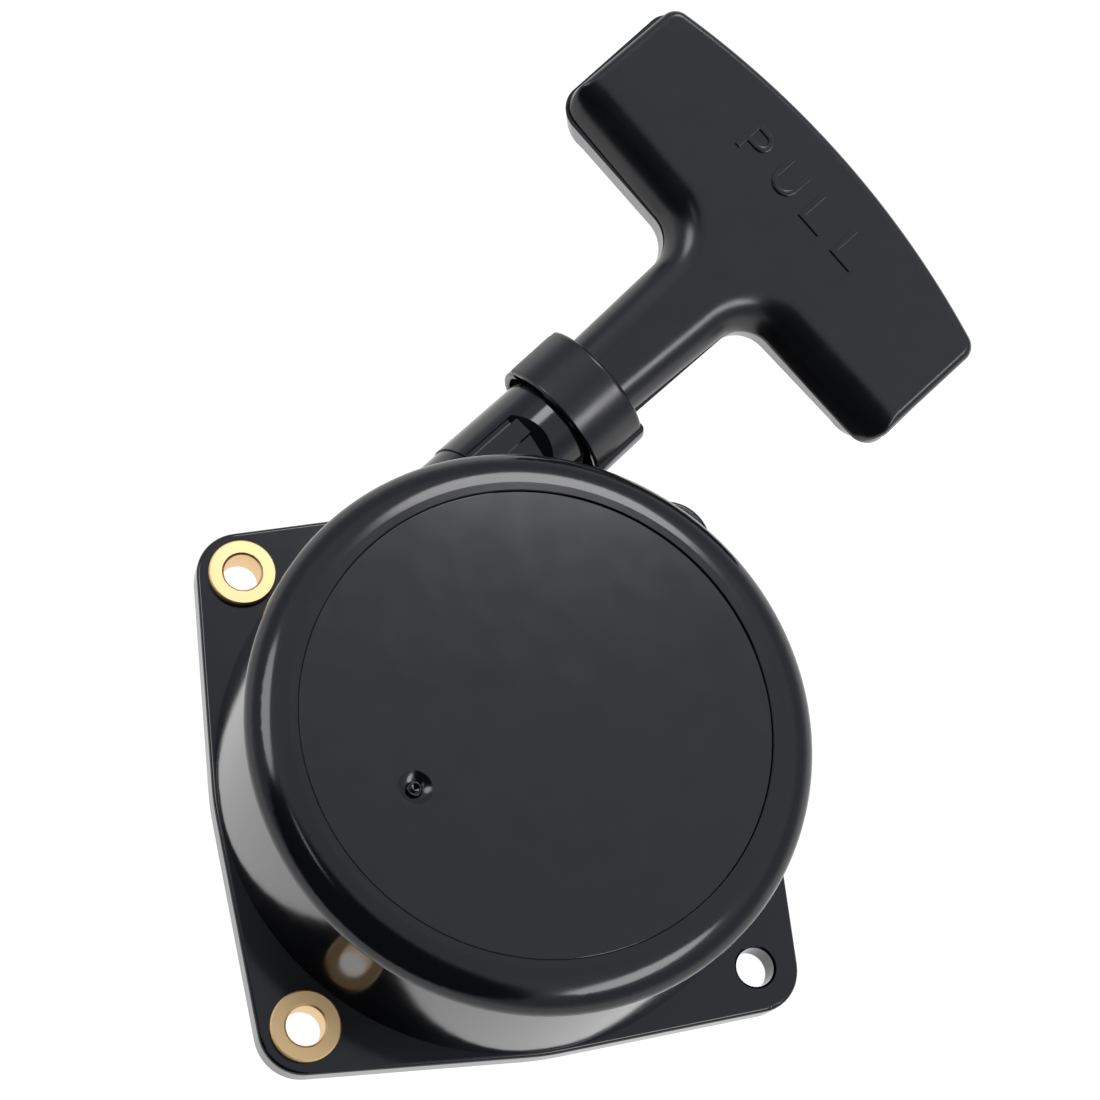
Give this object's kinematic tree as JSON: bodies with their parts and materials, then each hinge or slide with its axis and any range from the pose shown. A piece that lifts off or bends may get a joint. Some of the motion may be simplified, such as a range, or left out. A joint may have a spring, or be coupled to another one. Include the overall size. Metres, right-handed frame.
{
  "type": "recoil starter",
  "caption": "Pull-start recoil starter for a small engine: square flange plate, round drum with rope neck, brass-bushed corners, T-handle, rope reel, spring and pawls.",
  "frame": {"origin": "reel axis at the mounting plate's back face", "axes": "+Z out of the drum's front face along the reel axis, +X and +Y along the mounting plate's sides, the rope neck towards +X +Y"},
  "size_m": [0.1289, 0.1589, 0.0384],
  "materials": {
    "housing_black": "smooth black moulding, half gloss",
    "disc_black": "smooth satin black",
    "handle_black": "black moulding, satin gloss",
    "brass": "satin turned brass",
    "steel": "zinc-plated steel",
    "spring_steel": "blued spring steel strip",
    "reel_plastic": "glass-filled nylon",
    "pawl_metal": "sintered steel",
    "rope_fibre": "braided black polyester cord",
    "guide_black": "black acetal"
  },
  "bodies": {
    "case": {"starter_case": "housing_black", "face_disc": "disc_black", "spring_anchor_pin": "housing_black", "mount_bushes": "brass", "rope_guide": "guide_black", "recoil_spring": "spring_steel", "spring_cover": "steel", "cover_screws": "steel", "axle_sleeve": "steel", "centre_washer": "steel", "centre_screw": "steel"},
    "reel": {"reel": "reel_plastic", "rope_coil": "rope_fibre", "rope_knot_reel": "rope_fibre", "pawl_pins": "steel", "friction_spring": "spring_steel"},
    "guide": {"ratchet_guide": "steel"},
    "pawl_one": {"pawl_a": "pawl_metal"},
    "pawl_two": {"pawl_b": "pawl_metal"},
    "handle": {"handle_front_shell": "handle_black", "handle_back_shell": "handle_black", "handle_screws": "steel", "rope_run": "rope_fibre", "rope_washer": "steel", "rope_knot_handle": "rope_fibre"}
  },
  "joints": [
    {"name": "handle_pull", "type": "slide", "parent": "case", "child": "handle", "axis": [0.8056, 0.5924, 0], "range_m": [0, 0.7], "stiffness_N_per_m": 12, "springref_m": -0.7, "deforming": ["rope_run"]},
    {"name": "reel_spin", "type": "hinge", "parent": "case", "child": "reel", "pos_m": [0, 0, 0], "axis": [0, 0, 1], "range_deg": [-1202, 0], "deforming": ["recoil_spring"]},
    {"name": "guide_turn", "type": "hinge", "parent": "reel", "child": "guide", "pos_m": [0, 0, 0], "axis": [0, 0, 1], "range_deg": [0, 25]},
    {"name": "pawl_one_swing", "type": "hinge", "parent": "reel", "child": "pawl_one", "pos_m": [0.0155, 0, 0], "axis": [0, 0, 1], "range_deg": [0, 40]},
    {"name": "pawl_two_swing", "type": "hinge", "parent": "reel", "child": "pawl_two", "pos_m": [-0.0155, 0, 0], "axis": [0, 0, 1], "range_deg": [0, 40]}
  ],
  "couplings": [
    {"joint": "reel_spin", "follows": "handle_pull", "rad_per_m": -29.895},
    {"joint": "pawl_one_swing", "follows": "guide_turn", "ratio": 1.6},
    {"joint": "pawl_two_swing", "follows": "guide_turn", "ratio": 1.6}
  ]
}
